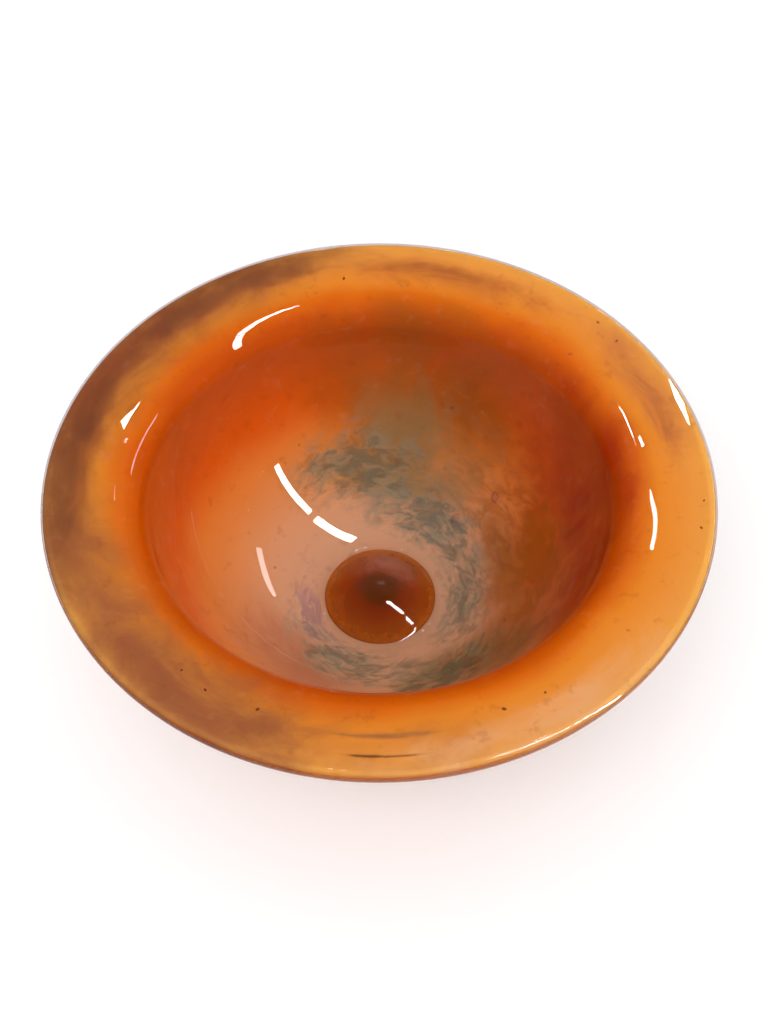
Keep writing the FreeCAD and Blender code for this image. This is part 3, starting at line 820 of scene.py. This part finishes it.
def make_floor():
    rest_hands()
    bpy.ops.mesh.primitive_plane_add(size=12, location=(0, 0, -0.0003))
    floor = bpy.context.active_object
    floor.name = "studio_floor"
    material, _, shader, _ = new_material("pale_floor")
    shader.inputs["Base Color"].default_value = (0.95, 0.95, 0.95, 1.0)
    shader.inputs["Roughness"].default_value = 0.9
    shader.inputs["Specular IOR Level"].default_value = 0.1
    floor.data.materials.append(material)


def face_the_bowl(place, along):
    """Turn of a lamp at a place so that it faces the bowl with its length along a direction."""
    away = Vector(place).normalized()
    side = (Vector(along) - Vector(along).project(away)).normalized()
    turned = away.cross(side)
    return Matrix((side, turned, away)).transposed().to_euler()


def make_lamp(name, place, along, length, width, glow):
    """Rectangular lamp whose face has the given glow."""
    data = bpy.data.lights.new(name, "AREA")
    data.shape = "RECTANGLE"
    data.size = length
    data.size_y = width
    data.energy = glow * math.pi * length * width
    lamp = bpy.data.objects.new(name, data)
    lamp.location = place
    lamp.rotation_euler = face_the_bowl(place, along)
    bpy.context.scene.collection.objects.link(lamp)
    return lamp


def make_sheen_lamp(*measures):
    """Lamp that only shows as a reflection on the glass."""
    lamp = make_lamp(*measures)
    lamp.visible_diffuse = False
    lamp.visible_transmission = False
    return lamp


STUDIO_GLOW = 0.95
MIRRORED_GLOW = 0.04


def make_world():
    """Bright and even all round, but dim where the glass mirrors it."""
    world = bpy.context.scene.world or bpy.data.worlds.new("studio")
    bpy.context.scene.world = world
    world.use_nodes = True
    tree = world.node_tree
    sky = tree.nodes["Background"]
    path = tree.nodes.new("ShaderNodeLightPath")
    sky.inputs["Color"].default_value = (1.0, 1.0, 1.0, 1.0)
    mirrored = math_node(tree, "MULTIPLY", path.outputs["Is Glossy Ray"],
                         path.outputs["Is Reflection Ray"])
    glow = math_node(tree, "MULTIPLY_ADD", mirrored, MIRRORED_GLOW - STUDIO_GLOW, STUDIO_GLOW)
    tree.links.new(glow, sky.inputs["Strength"])


# Small lamps in a row beyond the bowl, which the bend mirrors: place, run, length, width, glow.
FAR_LAMPS = [
    ((-0.028, 1.008, 1.5), (-0.5, 0.85, 0), 0.046, 0.012, 60),
    ((0.040, 1.039, 1.5), (0.2, 1, 0), 0.014, 0.008, 40),
    ((0.052, 1.131, 1.5), (0.4, 1, 0), 0.030, 0.008, 22),
    ((0.121, 1.027, 1.5), (0.4, 1, 0), 0.010, 0.012, 90),
]


def make_lights():
    make_world()
    run = Vector((0.78, -0.48, 0.0))
    make_sheen_lamp("strip_near", (1.33, -0.50, 1.3), run, 1.15, 0.10, 45)
    make_sheen_lamp("strip_far", (0.42, 0.08, 1.3), run, 0.55, 0.08, 45)
    make_sheen_lamp("strip_side", (1.5, 1.0, 1.2), (-0.5, 0.8, 0.0), 0.8, 0.12, 9)
    make_sheen_lamp("far_panel", (0.0, 1.1, 1.45), (1, 0, 0), 1.8, 0.9, 0.10)
    for number, measures in enumerate(FAR_LAMPS, 1):
        make_sheen_lamp("far_lamp_%d" % number, *measures)
    key = make_lamp("key", (-0.3, -1.1, 1.4), (1, 0, 0), 1.6, 1.4, 2.2)
    key.visible_glossy = False


def make_camera():
    data = bpy.data.cameras.new("camera")
    data.lens = 41.2
    data.sensor_width = 36.0
    camera = bpy.data.objects.new("camera", data)
    elevation = math.radians(51.2)
    distance = 0.4375
    look_down = math.radians(53.52)
    camera.location = (0, -distance * math.cos(elevation),
                       TOP + distance * math.sin(elevation))
    camera.rotation_euler = Euler((math.pi / 2 - look_down, 0, math.radians(-0.36)))
    bpy.context.scene.collection.objects.link(camera)
    bpy.context.scene.camera = camera


make_casing()
make_core()
make_button()
for trail in TRAILS:
    make_trail(*trail)
make_frit()
make_floor()
make_lights()
make_camera()

settings = bpy.context.scene.cycles
settings.max_bounces = 24
settings.transmission_bounces = 24
settings.transparent_max_bounces = 48
settings.sample_clamp_indirect = 8.0
bpy.context.scene.view_settings.view_transform = "Standard"
